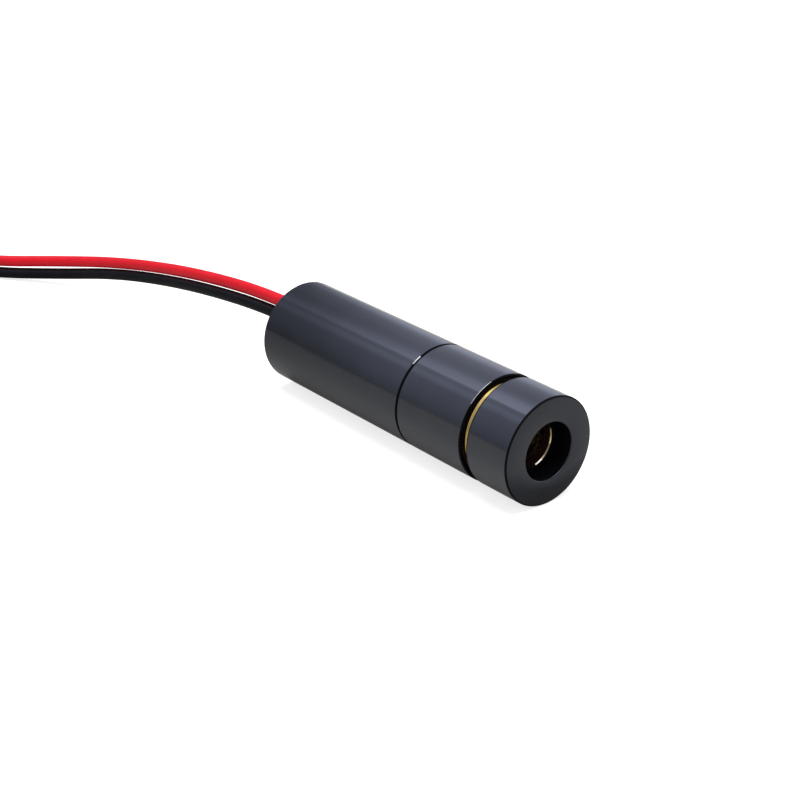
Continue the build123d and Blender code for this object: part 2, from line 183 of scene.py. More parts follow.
def turnedPiece(outline, segments=160, closed=True):
    x, radius = outline[0]
    deselectAll()
    bpy.ops.mesh.primitive_circle_add(
        vertices=segments, radius=radius, fill_type="NOTHING",
        location=(x, 0, axisZ), rotation=(0, pi / 2, 0))
    piece = bpy.context.object
    bpy.ops.object.mode_set(mode="EDIT")
    bpy.ops.mesh.select_all(action="SELECT")
    following = outline[1:] + outline[:1] if closed else outline[1:]
    for nextX, nextRadius in following:
        bpy.ops.mesh.extrude_region_move(TRANSFORM_OT_translate={"value": (nextX - x, 0, 0)})
        if nextRadius != radius:
            share = nextRadius / radius
            bpy.ops.transform.resize(value=(1, share, share), center_override=(nextX, 0, axisZ))
        x, radius = nextX, nextRadius
    bpy.ops.object.mode_set(mode="OBJECT")
    applyPlace(piece)
    outwardFaces(piece)
    return piece


def selectOpenEdges():
    bpy.ops.object.mode_set(mode="EDIT")
    bpy.ops.mesh.select_all(action="DESELECT")
    bpy.ops.mesh.select_non_manifold(extend=False, use_boundary=True)


def fillEnds(piece, pointed=False):
    activate(piece)
    selectOpenEdges()
    bpy.ops.mesh.edge_face_add()
    if pointed:
        bpy.ops.mesh.poke()
    bpy.ops.object.mode_set(mode="OBJECT")


def softenEdges(piece, width, angle=30, segments=2):
    bevel = piece.modifiers.new("edges", "BEVEL")
    bevel.width = width
    bevel.segments = segments
    bevel.limit_method = "ANGLE"
    bevel.angle_limit = radians(angle)
    applyModifiers(piece)
    smoothPiece(piece)
    shading = piece.modifiers.new("evenShading", "WEIGHTED_NORMAL")
    shading.keep_sharp = True
    applyModifiers(piece)


def newCurve(name, kind, points, diameter, roundness):
    curve = bpy.data.curves.new(name, "CURVE")
    curve.dimensions = "3D"
    curve.bevel_depth = diameter / 2
    curve.bevel_resolution = roundness
    curve.use_fill_caps = True
    spline = curve.splines.new(kind)
    spline.points.add(len(points) - 1)
    for control, point in zip(spline.points, points):
        control.co = (*point, 1)
    return addObject(name, curve)


# A second material on part of a turned piece, its faces told by place and normal: painted shade, wear with
# painted glints, and bare brass

facing = {"across": 0.3, "along": 0.9}  # how much of a normal lies along the beam
insideShare = 0.98  # keeps off the faces at the very edge of a rim


def radiusOf(point):
    return Vector((0, point.y, point.z - axisZ)).length


def angleOf(point):
    return degrees(atan2(point.z - axisZ, point.y)) % 360


def materialOnFaces(piece, material, wanted):
    piece.data.materials.append(material)
    activate(piece)
    for face in piece.data.polygons:
        face.select = wanted(face)
    for part in (*piece.data.edges, *piece.data.vertices):
        part.select = False
    bpy.ops.object.mode_set(mode="EDIT")
    piece.active_material_index = len(piece.data.materials) - 1
    bpy.ops.object.material_slot_assign()
    bpy.ops.object.mode_set(mode="OBJECT")


# Painted shade: near-black, barely reflecting rims on chamfers and at the seam, for the shade in the grooves
# and at the edges
def paintShadeOnRims(piece, places, width):
    def onRim(face):
        outside = radiusOf(face.center) > bodyRadius - width * insideShare
        return outside and any(abs(face.center.x - place) < width * insideShare for place in places)

    materialOnFaces(piece, paintedShadeBlack, onRim)


# Wear and a painted glint: bare metal patches on one arc of a rim, placed where the edge glints
def wearAndGlintRim(piece, place, wearAndGlint):
    def barePatch(face):
        outside = radiusOf(face.center) > bodyRadius - wearAndGlint["depth"]
        near = abs(face.center.x - place) < wearAndGlint["width"]
        return outside and near and wearAndGlint["from"] < angleOf(face.center) < wearAndGlint["to"]

    materialOnFaces(piece, wornEdgeAndGlint, barePatch)


# Painted shade: a near-black, barely reflecting face in the narrow gap between two parts
def paintShadeOnFace(piece, place):
    def onFace(face):
        return abs(face.center.x - place) < mergeDistance and abs(face.normal.x) > facing["along"]

    materialOnFaces(piece, paintedShadeBlack, onFace)


# Materials, with nodes that belong to a material or to the world

def setSocket(owner, socket, value):
    if isinstance(value, bpy.types.NodeSocket):
        owner.node_tree.links.new(value, socket)
    else:
        socket.default_value = value


def addNode(owner, kind, sockets=None, **settings):
    node = owner.node_tree.nodes.new(kind)
    for name, value in settings.items():
        setattr(node, name, value)
    for name, value in (sockets or {}).items():
        setSocket(owner, node.inputs[name], value)
    return node


def addMath(owner, operation, *values):
    node = addNode(owner, "ShaderNodeMath", operation=operation)
    for socket, value in zip(node.inputs, values):
        setSocket(owner, socket, value)
    return node.outputs["Value"]


def addRange(owner, value, fromLow, fromHigh, toLow, toHigh, **settings):
    node = addNode(owner, "ShaderNodeMapRange", {
        "Value": value, "From Min": fromLow, "From Max": fromHigh, "To Min": toLow, "To Max": toHigh,
    }, **settings)
    return node.outputs["Result"]


def addRamp(owner, factor, stops):
    node = addNode(owner, "ShaderNodeValToRGB", {"Fac": factor})
    elements = node.color_ramp.elements  # two at first
    for number, (place, color) in enumerate(stops):
        element = elements[number] if number < len(elements) else elements.new(place)
        element.position = place
        element.color = (*color, 1)
    return node.outputs["Color"]


def addMix(owner, factor, first, second, **settings):
    node = addNode(owner, "ShaderNodeMix", {"Factor": factor, "A": first, "B": second}, **settings)
    return node.outputs["Result"]


def addNoise(material, scale, stretch=(1, 1, 1), detail=4.0):
    place = addNode(material, "ShaderNodeTexCoord").outputs["Object"]
    mapping = addNode(material, "ShaderNodeMapping", {"Vector": place, "Scale": stretch})
    noise = addNode(material, "ShaderNodeTexNoise", {
        "Vector": mapping.outputs["Vector"], "Scale": scale, "Detail": detail,
    })
    return noise.outputs["Fac"]


def addBump(material, shader, height, strength, distance):
    bump = addNode(material, "ShaderNodeBump", {"Height": height, "Strength": strength, "Distance": distance})
    setSocket(material, shader.inputs["Normal"], bump.outputs["Normal"])


def newMaterial(name, color, roughness, metallic=0.0, specular=0.5):
    material = bpy.data.materials.new(name)
    material.use_nodes = True
    shader = material.node_tree.nodes["Principled BSDF"]
    shader.inputs["Base Color"].default_value = (*color, 1)
    shader.inputs["Roughness"].default_value = roughness
    shader.inputs["Metallic"].default_value = metallic
    shader.inputs["Specular IOR Level"].default_value = specular
    return material, shader


def anodisedMaterial():
    values = {
        "dark": (0.0075, 0.0075, 0.009), "light": (0.011, 0.0112, 0.014), "darkTo": 0.3, "lightFrom": 0.7,
        "roughness": (0.08, 0.13), "specular": 0.56, "tint": (0.84, 0.885, 1.0),
        "turning": 900, "turningStretch": (60, 0.4, 0.4), "turningDetail": 5, "cloud": 260,
        "bump": 0.08, "bumpHeight": 0.003 * mm,
    }
    material, shader = newMaterial(
        "blackAnodised", values["dark"], values["roughness"][1], specular=values["specular"])
    shader.inputs["Specular Tint"].default_value = (*values["tint"], 1)
    turning = addNoise(material, values["turning"], values["turningStretch"], values["turningDetail"])
    cloud = addNoise(material, values["cloud"])
    tone = addRamp(material, cloud, [
        (values["darkTo"], values["dark"]), (values["lightFrom"], values["light"]),
    ])
    setSocket(material, shader.inputs["Base Color"], tone)
    setSocket(material, shader.inputs["Roughness"], addRange(material, turning, 0, 1, *values["roughness"]))
    addBump(material, shader, turning, values["bump"], values["bumpHeight"])
    return material


# Bare metal patches on black: wear, laid on short arcs of the rims as painted glints
def wornEdgeAndGlintMaterial():
    values = {
        "black": (0.01, 0.01, 0.013), "bare": (0.42, 0.39, 0.33), "roughness": 0.25,
        "patches": 330, "patchDetail": 3, "patchFrom": 0.36, "patchTo": 0.48,
        "bump": 0.2, "bumpHeight": 0.01 * mm,
    }
    material, shader = newMaterial("wornEdgeAndGlint", values["black"], values["roughness"])
    patches = addNoise(material, values["patches"], detail=values["patchDetail"])
    barePatch = addRange(material, patches, values["patchFrom"], values["patchTo"], 0, 1)
    tone = addRamp(material, barePatch, [(0, values["black"]), (1, values["bare"])])
    setSocket(material, shader.inputs["Base Color"], tone)
    setSocket(material, shader.inputs["Metallic"], barePatch)
    addBump(material, shader, patches, values["bump"], values["bumpHeight"])
    return material


def brassMaterial():
    values = {
        "dark": (0.3, 0.195, 0.045), "light": (0.46, 0.32, 0.1), "darkTo": 0.25, "lightFrom": 0.6,
        "roughness": (0.14, 0.3), "turning": 700, "turningStretch": (40, 1, 1),
        "bump": 0.2, "bumpHeight": 0.004 * mm,
    }
    material, shader = newMaterial("turnedBrass", values["light"], values["roughness"][1], metallic=1)
    turning = addNoise(material, values["turning"], values["turningStretch"])
    tone = addRamp(material, turning, [
        (values["darkTo"], values["dark"]), (values["lightFrom"], values["light"]),
    ])
    setSocket(material, shader.inputs["Base Color"], tone)
    setSocket(material, shader.inputs["Roughness"], addRange(material, turning, 0, 1, *values["roughness"]))
    addBump(material, shader, turning, values["bump"], values["bumpHeight"])
    return material


def glassMaterial(name, color):
    values = {"roughness": (0.01, 0.04), "refraction": 1.52, "smudges": 420}
    material, shader = newMaterial(name, color, values["roughness"][0])
    shader.inputs["Transmission Weight"].default_value = 1
    shader.inputs["IOR"].default_value = values["refraction"]
    smudges = addNoise(material, values["smudges"])
    setSocket(material, shader.inputs["Roughness"], addRange(material, smudges, 0, 1, *values["roughness"]))
    return material


def plainMaterial(name, dark, light, roughness, metallic=0.0, specular=0.5, scale=600, bump=0.15):
    values = {"darkTo": 0.3, "lightFrom": 0.7, "roughnessShares": (0.85, 1.15), "bumpHeight": 0.01 * mm}
    material, shader = newMaterial(name, light, roughness, metallic, specular)
    grain = addNoise(material, scale)
    tone = addRamp(material, grain, [(values["darkTo"], dark), (values["lightFrom"], light)])
    rough = addRange(material, grain, 0, 1, *(roughness * share for share in values["roughnessShares"]))
    setSocket(material, shader.inputs["Base Color"], tone)
    setSocket(material, shader.inputs["Roughness"], rough)
    addBump(material, shader, grain, bump, values["bumpHeight"])
    return material


blackAnodised = anodisedMaterial()
wornEdgeAndGlint = wornEdgeAndGlintMaterial()
brass = brassMaterial()
# The lens glass is tinted dark brown, a painted reflection of the brass cell round it
lensGlass = glassMaterial("lensGlass", (0.14, 0.075, 0.04))
windowGlass = glassMaterial("windowGlass", (0.97, 0.98, 0.98))
# Near-black and barely reflecting: painted shade for seams, gaps, recesses and bores
paintedShadeBlack = plainMaterial(
    "paintedShadeBlack", (0.001, 0.001, 0.0013), (0.003, 0.003, 0.0035), 0.5, specular=0.07, scale=700, bump=0.1)
polishedBrass = plainMaterial(
    "polishedBrass", (0.66, 0.5, 0.27), (0.8, 0.64, 0.38), 0.06, metallic=1, scale=500, bump=0.02)
# Dark brown: painted shade in the bore of the lens cell's lip
brownPaintedShade = plainMaterial(
    "brownPaintedShade", (0.01, 0.0035, 0.0012), (0.022, 0.008, 0.003), 0.4, scale=700, bump=0.1)
sealGlass = plainMaterial("sealGlass", (0.03, 0.06, 0.04), (0.06, 0.1, 0.07), 0.15)
steel = plainMaterial(
    "springSteel", (0.42, 0.42, 0.43), (0.6, 0.6, 0.61), 0.3, metallic=1, scale=800, bump=0.1)
gold = plainMaterial(
    "goldPlate", (0.72, 0.47, 0.16), (0.86, 0.62, 0.26), 0.22, metallic=1, scale=500, bump=0.08)
nickel = plainMaterial(
    "nickelPlate", (0.55, 0.53, 0.5), (0.7, 0.68, 0.64), 0.25, metallic=1, scale=500, bump=0.08)
ceramic = plainMaterial("submountCeramic", (0.5, 0.5, 0.48), (0.66, 0.66, 0.64), 0.6)
silicon = plainMaterial("chipSurface", (0.03, 0.03, 0.05), (0.08, 0.08, 0.12), 0.12)
boardGreen = plainMaterial("boardGreen", (0.01, 0.08, 0.03), (0.02, 0.14, 0.05), 0.32, scale=420)
packageBlack = plainMaterial(
    "packageBlack", (0.012, 0.012, 0.013), (0.03, 0.03, 0.032), 0.55, scale=1500, bump=0.4)
resistorBlack = plainMaterial("resistorGlaze", (0.015, 0.015, 0.018), (0.035, 0.035, 0.04), 0.2)
capacitorTan = plainMaterial("capacitorTan", (0.3, 0.2, 0.11), (0.44, 0.31, 0.18), 0.5)
solder = plainMaterial(
    "solderTin", (0.5, 0.5, 0.52), (0.72, 0.72, 0.74), 0.22, metallic=1, scale=300, bump=0.3)
resin = plainMaterial(
    "pottingResin", (0.006, 0.006, 0.007), (0.012, 0.012, 0.014), 0.12, scale=180, bump=0.5)
tinned = plainMaterial(
    "tinnedCopper", (0.5, 0.48, 0.45), (0.7, 0.68, 0.65), 0.26, metallic=1, scale=700, bump=0.2)
redPvc = plainMaterial(
    "redPvc", (0.58, 0.004, 0.013), (0.65, 0.006, 0.018), 0.42, specular=0.2, scale=260, bump=0.1)
blackPvc = plainMaterial(
    "blackPvc", (0.0022, 0.0024, 0.003), (0.005, 0.0055, 0.0065), 0.4, specular=0.11, scale=260, bump=0.12)
print("materials made")


# Turned metal pieces

def makeHousing():
    values = {
        "wall": 0.7 * mm, "rearChamfer": 0.15 * mm, "edge": 0.08 * mm, "round": 0.025 * mm,
        "wearAndGlint": {"width": 0.104 * mm, "depth": 0.08 * mm, "from": 115, "to": 126},
    }
    rear, front = housingLow.x, housingHigh.x
    bore = bodyRadius - values["wall"]
    piece = turnedPiece([
        (rear, bore + values["edge"]),
        (rear, bodyRadius - values["rearChamfer"]),
        (rear + values["rearChamfer"], bodyRadius),
        (front - values["edge"], bodyRadius),
        (front, bodyRadius - values["edge"]),
        (front, bore),
        (rear + values["edge"], bore),
    ])
    softenEdges(piece, values["round"])
    dress(piece, "housing_tube", blackAnodised, "black_anodised", "housing", "rear_housing")
    # Painted shade on both end chamfers; wear and a painted glint on an arc of the front edge
    paintShadeOnRims(piece, [rear], values["rearChamfer"])
    paintShadeOnRims(piece, [front], values["edge"])
    wearAndGlintRim(piece, front, values["wearAndGlint"])


def makeBarrel():
    values = {
        "spigotWall": 0.72 * mm, "rearBore": 3.7 * mm, "lead": 0.15 * mm, "edge": 0.08 * mm,
        "seamWidth": 0.18 * mm, "seamDepth": 0.4 * mm, "threadBore": 4.6 * mm,
        "web": 1.0 * mm, "webHole": 2.2 * mm, "seat": 2.82 * mm, "seatDepth": 1.2 * mm, "round": 0.025 * mm,
        "wearAndGlint": {"width": 0.104 * mm, "depth": 0.025 * mm, "from": 106, "to": 138},
    }
    rear, front, seam = barrelLow.x, barrelHigh.x, housingHigh.x
    shoulder = seam + values["seamWidth"]
    spigot = bodyRadius - values["spigotWall"]
    webRear = webFront - values["web"]
    seatRear = webRear - values["seatDepth"]
    piece = turnedPiece([
        (rear, values["rearBore"]),
        (rear, spigot - values["lead"]),
        (rear + values["lead"], spigot),
        (seam, spigot),
        (seam, bodyRadius - values["seamDepth"]),
        (shoulder, bodyRadius - values["seamDepth"]),
        (shoulder, bodyRadius - values["edge"]),
        (shoulder + values["edge"], bodyRadius),
        (front - values["edge"], bodyRadius),
        (front, bodyRadius - values["edge"]),
        (front, values["threadBore"] + values["lead"]),
        (front - values["lead"], values["threadBore"]),
        (webFront, values["threadBore"]),
        (webFront, values["webHole"]),
        (webRear, values["webHole"]),
        (webRear, values["seat"]),
        (seatRear, values["seat"]),
        (seatRear, values["rearBore"]),
    ])
    softenEdges(piece, values["round"])
    dress(piece, "barrel_shell", blackAnodised, "black_anodised", "housing", "front_barrel")
    # Painted shade on the seam and front rims and on the front face in the gap to the cap; wear and a painted
    # glint on an arc of the front edge
    paintShadeOnRims(piece, [shoulder, front], values["edge"])
    paintShadeOnFace(piece, front)
    wearAndGlintRim(piece, front, values["wearAndGlint"])


def makeCap():
    values = {
        "fit": 0.02 * mm, "edge": 0.08 * mm, "darkRim": 0.18 * mm, "frontChamfer": 0.15 * mm,
        "aperture": 2.79 * mm, "apertureDepth": 2.2 * mm, "apertureChamfer": 0.08 * mm, "round": 0.03 * mm,
    }
    rear, front = capLow.x, capHigh.x
    seat = holderRadius + values["fit"]
    piece = turnedPiece([
        (rear, seat),
        (rear, bodyRadius - values["edge"]),
        (rear + values["edge"], bodyRadius),
        (rear + values["darkRim"], bodyRadius),
        (front - values["frontChamfer"], bodyRadius),
        (front, bodyRadius - values["frontChamfer"]),
        (front, values["aperture"] + values["apertureChamfer"]),
        (front - values["apertureChamfer"], values["aperture"]),
        (front - values["apertureDepth"], values["aperture"]),
        (front - values["apertureDepth"], seat),
    ])
    softenEdges(piece, values["round"])
    dress(piece, "cap_shell", blackAnodised, "black_anodised", "focus", "focus_cap")
    # Painted shade on the rear rim and rear face beside the gap, on the front chamfer, and in the aperture's
    # bore
    paintShadeOnRims(piece, [rear], values["darkRim"])
    paintShadeOnRims(piece, [front], values["frontChamfer"])
    paintShadeOnFace(piece, rear)

    def inAperture(face):
        within = radiusOf(face.center) < values["aperture"] + values["round"]
        return within and abs(face.normal.x) < facing["across"]

    materialOnFaces(piece, paintedShadeBlack, inAperture)


def windThread(values, rear, front):
    turns = ceil((front - rear) / values["pitch"]) + values["spareTurns"]
    start = rear - values["turnsBefore"] * values["pitch"] + values["phase"]
    step = values["pitch"] / len(values["flanks"])

    # One tooth, from crest to root to crest, wound along the axis
    deselectAll()
    bpy.ops.mesh.primitive_plane_add(size=values["pitch"], location=(start, 0, axisZ))
    thread = bpy.context.object
    bpy.ops.object.mode_set(mode="EDIT")
    bpy.ops.mesh.merge(type="CENTER")
    bpy.ops.transform.translate(value=(0, 0, holderRadius))
    for outward in values["flanks"]:
        move = (step, 0, values["depth"] * outward)
        bpy.ops.mesh.extrude_region_move(TRANSFORM_OT_translate={"value": move})
    bpy.ops.object.mode_set(mode="OBJECT")
    winding = thread.modifiers.new("winding", "SCREW")
    winding.axis = "X"
    winding.screw_offset = values["pitch"]
    winding.iterations = turns
    winding.steps = winding.render_steps = values["steps"]
    winding.use_merge_vertices = True
    winding.merge_threshold = mergeDistance
    applyModifiers(thread)
    applyPlace(thread)
    bpy.ops.object.mode_set(mode="EDIT")
    bpy.ops.mesh.select_all(action="SELECT")
    bpy.ops.mesh.remove_doubles(threshold=mergeDistance)
    for place, side in ((rear, -1), (front, 1)):
        bpy.ops.mesh.select_all(action="SELECT")
        bpy.ops.mesh.bisect(
            plane_co=(place, 0, axisZ), plane_no=(side, 0, 0), clear_outer=True, threshold=mergeDistance)
    bpy.ops.object.mode_set(mode="OBJECT")
    return thread


def bridgeOpenEdges(piece, place, reach):
    bpy.ops.object.mode_set(mode="EDIT")
    bpy.ops.mesh.select_mode(type="EDGE")
    selectOpenEdges()
    bpy.ops.object.mode_set(mode="OBJECT")
    for edge in piece.data.edges:
        ends = [piece.data.vertices[index].co.x for index in edge.vertices]
        edge.select = edge.select and all(abs(x - place) < reach + mergeDistance for x in ends)
    for vertex in piece.data.vertices:
        vertex.select = False
    bpy.ops.object.mode_set(mode="EDIT")
    bpy.ops.mesh.bridge_edge_loops()
    bpy.ops.object.mode_set(mode="OBJECT")


def makeHolder():
    values = {
        "pitch": 0.5 * mm, "depth": 0.14 * mm, "flanks": (-0.5, -0.5, 0.5, 0.5), "steps": 128,
        "phase": 0.34 * mm, "turnsBefore": 2, "spareTurns": 3, "rearEnd": 0.2 * mm, "frontEnd": 0.08 * mm,
        "pocket": 3.25 * mm, "lipBore": 2.37 * mm, "lip": 0.9 * mm, "lipEdge": 0.06 * mm,
        "lipChamfer": 0.09 * mm, "black": (50, 285), "glint": (291, 299), "smooth": 44, "runOut": 0.05 * mm,
    }
    rear, front = holderLow.x, holderHigh.x
    threadRear = rear + values["rearEnd"]
    threadFront = capLow.x + values["frontEnd"]
    thread = windThread(values, threadRear, threadFront)

    # The rest of the tube, open where the thread goes in, and a run-out off the thread's two ends
    neck = holderRadius - values["depth"] - values["lipEdge"]
    tube = turnedPiece([
        (threadRear - values["runOut"], neck),
        (rear, neck - values["lipEdge"]),
        (rear, values["pocket"]),
        (front - values["lip"], values["pocket"]),
        (front - values["lip"], values["lipBore"]),
        (front - values["lipChamfer"], values["lipBore"]),
        (front, values["lipBore"] + values["lipChamfer"]),
        (front, holderRadius - values["lipEdge"]),
        (front - values["lipEdge"], holderRadius),
        (threadFront + values["runOut"], holderRadius),
    ], segments=values["steps"], closed=False)
    activate(thread)
    tube.select_set(True)
    bpy.context.view_layer.objects.active = tube
    bpy.ops.object.join()
    for place in (threadRear, threadFront):
        bridgeOpenEdges(tube, place, values["runOut"])
    outwardFaces(tube)
    smoothPiece(tube, values["smooth"])
    dress(tube, "threaded_cell", brass, "brass", "focus", "lens_holder")

    # Painted shade round the lens: the lip's faces near-black and its bore dark brown, the lip's chamfer
    # near-black but for bare brass on one side, and a painted glint in nickel on a short arc of that bare
    # side
    shadeFrom, shadeTo = values["black"]
    glintFrom, glintTo = values["glint"]

    def inLipShade(face):
        lipRear = front - values["lip"] - values["lipEdge"]
        return face.center.x > lipRear and radiusOf(face.center) < holderRadius - values["lipEdge"]

    def inBore(face):
        within = radiusOf(face.center) < values["lipBore"] + values["lipEdge"]
        return within and abs(face.normal.x) < facing["across"]

    def onChamfer(face):
        within = radiusOf(face.center) < values["lipBore"] + values["lipChamfer"]
        slanted = facing["across"] < face.normal.x < facing["along"]
        return within and slanted and face.center.x > front - values["lipChamfer"]

    def bareChamfer(face):
        return onChamfer(face) and not shadeFrom < angleOf(face.center) < shadeTo

    def glintChamfer(face):
        return onChamfer(face) and glintFrom < angleOf(face.center) < glintTo

    materialOnFaces(tube, paintedShadeBlack, inLipShade)
    materialOnFaces(tube, brownPaintedShade, inBore)
    materialOnFaces(tube, polishedBrass, bareChamfer)
    materialOnFaces(tube, nickel, glintChamfer)


def makeLens():
    values = {
        "dome": 2.35 * mm, "rise": 0.75 * mm, "back": 2.3 * mm, "backRise": 0.3 * mm,
        "steps": 12, "segments": 96, "smooth": 40,
    }
    rim = (lensHigh.z - lensLow.z) / 2
    rimRear = lensLow.x + values["backRise"]
    rimFront = lensHigh.x - values["rise"]

    def domePoints(edgeX, edgeRadius, rise):
        ball = (edgeRadius ** 2 + rise ** 2) / (2 * abs(rise))
        side = 1 if rise > 0 else -1
        points = []
        for step in range(values["steps"] + 1):
            radius = edgeRadius * (1 - step / values["steps"])
            height = sqrt(ball ** 2 - radius ** 2) - sqrt(ball ** 2 - edgeRadius ** 2)
            points.append((edgeX + side * height, radius))
        return points

    front = domePoints(rimFront, values["dome"], values["rise"])
    back = domePoints(rimRear, values["back"], -values["backRise"])
    outline = back[::-1][1:] + [(rimRear, rim), (rimFront, rim)] + front
    piece = turnedPiece(outline, values["segments"], closed=False)
    fillEnds(piece, pointed=True)
    outwardFaces(piece)
    smoothPiece(piece, values["smooth"])
    dress(piece, "aspheric_lens", lensGlass, "lens_glass", "focus", "collimating_lens")


def makeSpring():
    values = {
        "wire": 0.4 * mm, "radius": 3.9 * mm, "turns": 3.5, "deadTurns": 0.75,
        "pointsPerTurn": 24, "roundness": 4, "smooth": 40,
    }
    rear, front = webFront + values["wire"] / 2, washerRear - values["wire"] / 2
    turns = values["turns"] + 2 * values["deadTurns"]
    steps = round(turns * values["pointsPerTurn"])
    dead = values["deadTurns"] / turns
    lift = values["wire"] * values["deadTurns"]  # a closed end still climbs by its own wire
    points = []
    for step in range(steps + 1):
        share = step / steps
        angle = 2 * pi * turns * share
        if share < dead:
            x = rear + lift * share / dead
        elif share > 1 - dead:
            x = front - lift * (1 - share) / dead
        else:
            x = rear + lift + (front - rear - 2 * lift) * (share - dead) / (1 - 2 * dead)
        points.append((x, values["radius"] * cos(angle), axisZ + values["radius"] * sin(angle)))
    activate(newCurve("spring", "POLY", points, values["wire"], values["roundness"]))
    bpy.ops.object.convert(target="MESH")
    piece = bpy.context.object
    outwardFaces(piece)
    smoothPiece(piece, values["smooth"])
    dress(piece, "coil_spring", steel, "spring_steel", None, "focus_spring")
    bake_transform(piece)


def makePotting():
    values = {
        "rings": 26, "segments": 120, "poleShare": 0.02, "climb": 0.22 * mm, "fade": 0.16 * mm,
        "round": 0.02 * mm, "smooth": 50,
    }
    rear, front = pottingLow.x + values["climb"], pottingHigh.x
    radius = (pottingHigh.z - pottingLow.z) / 2
    outline = [(front, radius * values["poleShare"]), (front, radius)]
    for ring in range(values["rings"]):
        outline.append((rear, radius * (1 - ring / values["rings"])))
    piece = turnedPiece(outline, values["segments"], closed=False)
    fillEnds(piece)

    # The resin climbs the wall and the leads
    wireRadius = leads["diameter"] / 2
    wires = [(leads["exitY"], leads["redZ"]), (leads["exitY"], leads["blackZ"])]
    for vertex in piece.data.vertices:
        if vertex.co.x > rear + values["round"]:
            continue
        fromWall = radius - Vector((vertex.co.y, vertex.co.z - axisZ)).length
        fromWires = [Vector((vertex.co.y - y, vertex.co.z - z)).length - wireRadius for y, z in wires]
        nearest = max(min(fromWires + [fromWall]), 0)
        vertex.co.x -= values["climb"] * exp(-nearest / values["fade"])
    outwardFaces(piece)
    smoothPiece(piece, values["smooth"])
    dress(piece, "resin_fill", resin, "potting_resin", "housing", "rear_potting")


makeHousing()
makeBarrel()
makeCap()
makeHolder()
makeLens()
makeSpring()
makePotting()
print("body, cell, lens, spring and resin made")


# Leads

def coilPoints(height):
    bulge = 1 / cos(pi / leads["pointsPerTurn"])  # the spline cuts inside its points
    centreX, centreY = leads["centre"]
    steps = round(leads["turns"] * leads["pointsPerTurn"])
    points = []
    for step in range(steps + 1):
        share = step / steps
        angle = leads["startAngle"] - 2 * pi * leads["turns"] * share
        radius = leads["outerRadius"] + (leads["innerRadius"] - leads["outerRadius"]) * share
        radius *= bulge
        points.append((centreX + radius * cos(angle), centreY + radius * sin(angle), height))
    offset = leads["innerRadius"] - leads["tailRadius"]
    tailX, tailY = centreX + offset * cos(angle), centreY + offset * sin(angle)
    for step in range(1, leads["tailPoints"] + 1):
        turn = angle - leads["tailAngle"] * step / leads["tailPoints"]
        radius = leads["tailRadius"]
        points.append((tailX + radius * cos(turn), tailY + radius * sin(turn), height))
    return points


def makeLead(name, route, height, material, slotName, *nodes):
    points = [tuple(value * mm for value in point) for point in route] + coilPoints(height)
    lead = newCurve(name, "NURBS", points, leads["diameter"], leads["roundness"])
    lead.data.resolution_u = leads["smoothness"]
    spline = lead.data.splines[0]
    spline.order_u = 3
    spline.use_endpoint_u = True
    dress(lead, name, material, slotName, "housing", *nodes)
    return lead, points


def makeStrands(name, points, node):
    values = {
        "strands": 6, "strand": 0.083 * mm, "sides": 10, "cuts": 23, "length": 4.0 * mm, "start": 0.3 * mm,
        "twist": radians(340), "smooth": 50,
    }
    tip, before = Vector(points[-1]), Vector(points[-2])
    direction = (tip - before).normalized()
    length = values["length"] + values["start"]
    deselectAll()
    bpy.ops.mesh.primitive_cylinder_add(
        vertices=values["sides"], radius=values["strand"], depth=length,
        location=(length / 2, 0, 0), rotation=(0, pi / 2, 0))
    bundle = bpy.context.object
    applyPlace(bundle)

    # One strand in the middle and the others round it
    bpy.ops.object.mode_set(mode="EDIT")
    bpy.ops.mesh.select_all(action="SELECT")
    bpy.ops.mesh.duplicate_move(TRANSFORM_OT_translate={"value": (0, 0, 2 * values["strand"])})
    for strand in range(1, values["strands"]):
        bpy.ops.mesh.duplicate()
        bpy.ops.transform.rotate(
            value=2 * pi / values["strands"], orient_axis="X", center_override=(0, 0, 0))
    bpy.ops.mesh.select_all(action="DESELECT")
    bpy.ops.object.mode_set(mode="OBJECT")

    # Cut across so that they can twist
    for edge in bundle.data.edges:
        first, last = (bundle.data.vertices[index].co for index in edge.vertices)
        edge.select = abs(first.x - last.x) > length / 2
    bpy.ops.object.mode_set(mode="EDIT")
    bpy.ops.mesh.select_mode(type="EDGE")
    bpy.ops.mesh.subdivide(number_cuts=values["cuts"])
    bpy.ops.object.mode_set(mode="OBJECT")
    twist = bundle.modifiers.new("lay", "SIMPLE_DEFORM")
    twist.deform_method = "TWIST"
    twist.deform_axis = "X"
    twist.angle = values["twist"]
    applyModifiers(bundle)
    smoothPiece(bundle, values["smooth"])
    bundle.location = tip - direction * values["start"]
    bundle.rotation_euler = (0, 0, atan2(direction.y, direction.x))
    applyPlace(bundle)
    dress(bundle, name, tinned, "tinned_copper", "housing", node)
    return bundle


redLead, redPoints = makeLead(
    "red_lead", redRoute, leads["redLayer"], redPvc, "red_pvc", "red_wire", "red_wire_coil")
blackLead, blackPoints = makeLead(
    "black_lead", blackRoute, leads["blackLayer"], blackPvc, "black_pvc", "black_wire", "black_wire_coil")
redStrands = makeStrands("red_strands", redPoints, "red_wire_end")
blackStrands = makeStrands("black_strands", blackPoints, "black_wire_end")
print("leads laid")

# Finishes of the solids that stay as they are
nodeMaterials = {
    "lens_retainer": brass,
    "thrust_washer": steel,
    "diode_retaining_ring": brass,
    "diode_header": gold,
    "diode_can": nickel,
    "diode_window": windowGlass,
    "diode_pins": gold,
    "diode_glass_seals": sealGlass,
    "laser_submount": ceramic,
    "laser_chip": silicon,
    "monitor_photodiode": silicon,
    "driver_board": boardGreen,
    "drive_transistor": packageBlack,
    "control_ic": packageBlack,
    "chip_resistors": resistorBlack,
    "chip_capacitors": capacitorTan,
    "filter_capacitor": capacitorTan,
    "solder_joints": solder,
    "red_wire_core": tinned,
    "black_wire_core": tinned,
}
for nodeName, material in nodeMaterials.items():
    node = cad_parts[nodeName]
    node.data.materials.clear()
    node.data.materials.append(material)
print("solids finished")


# Floor, light and camera

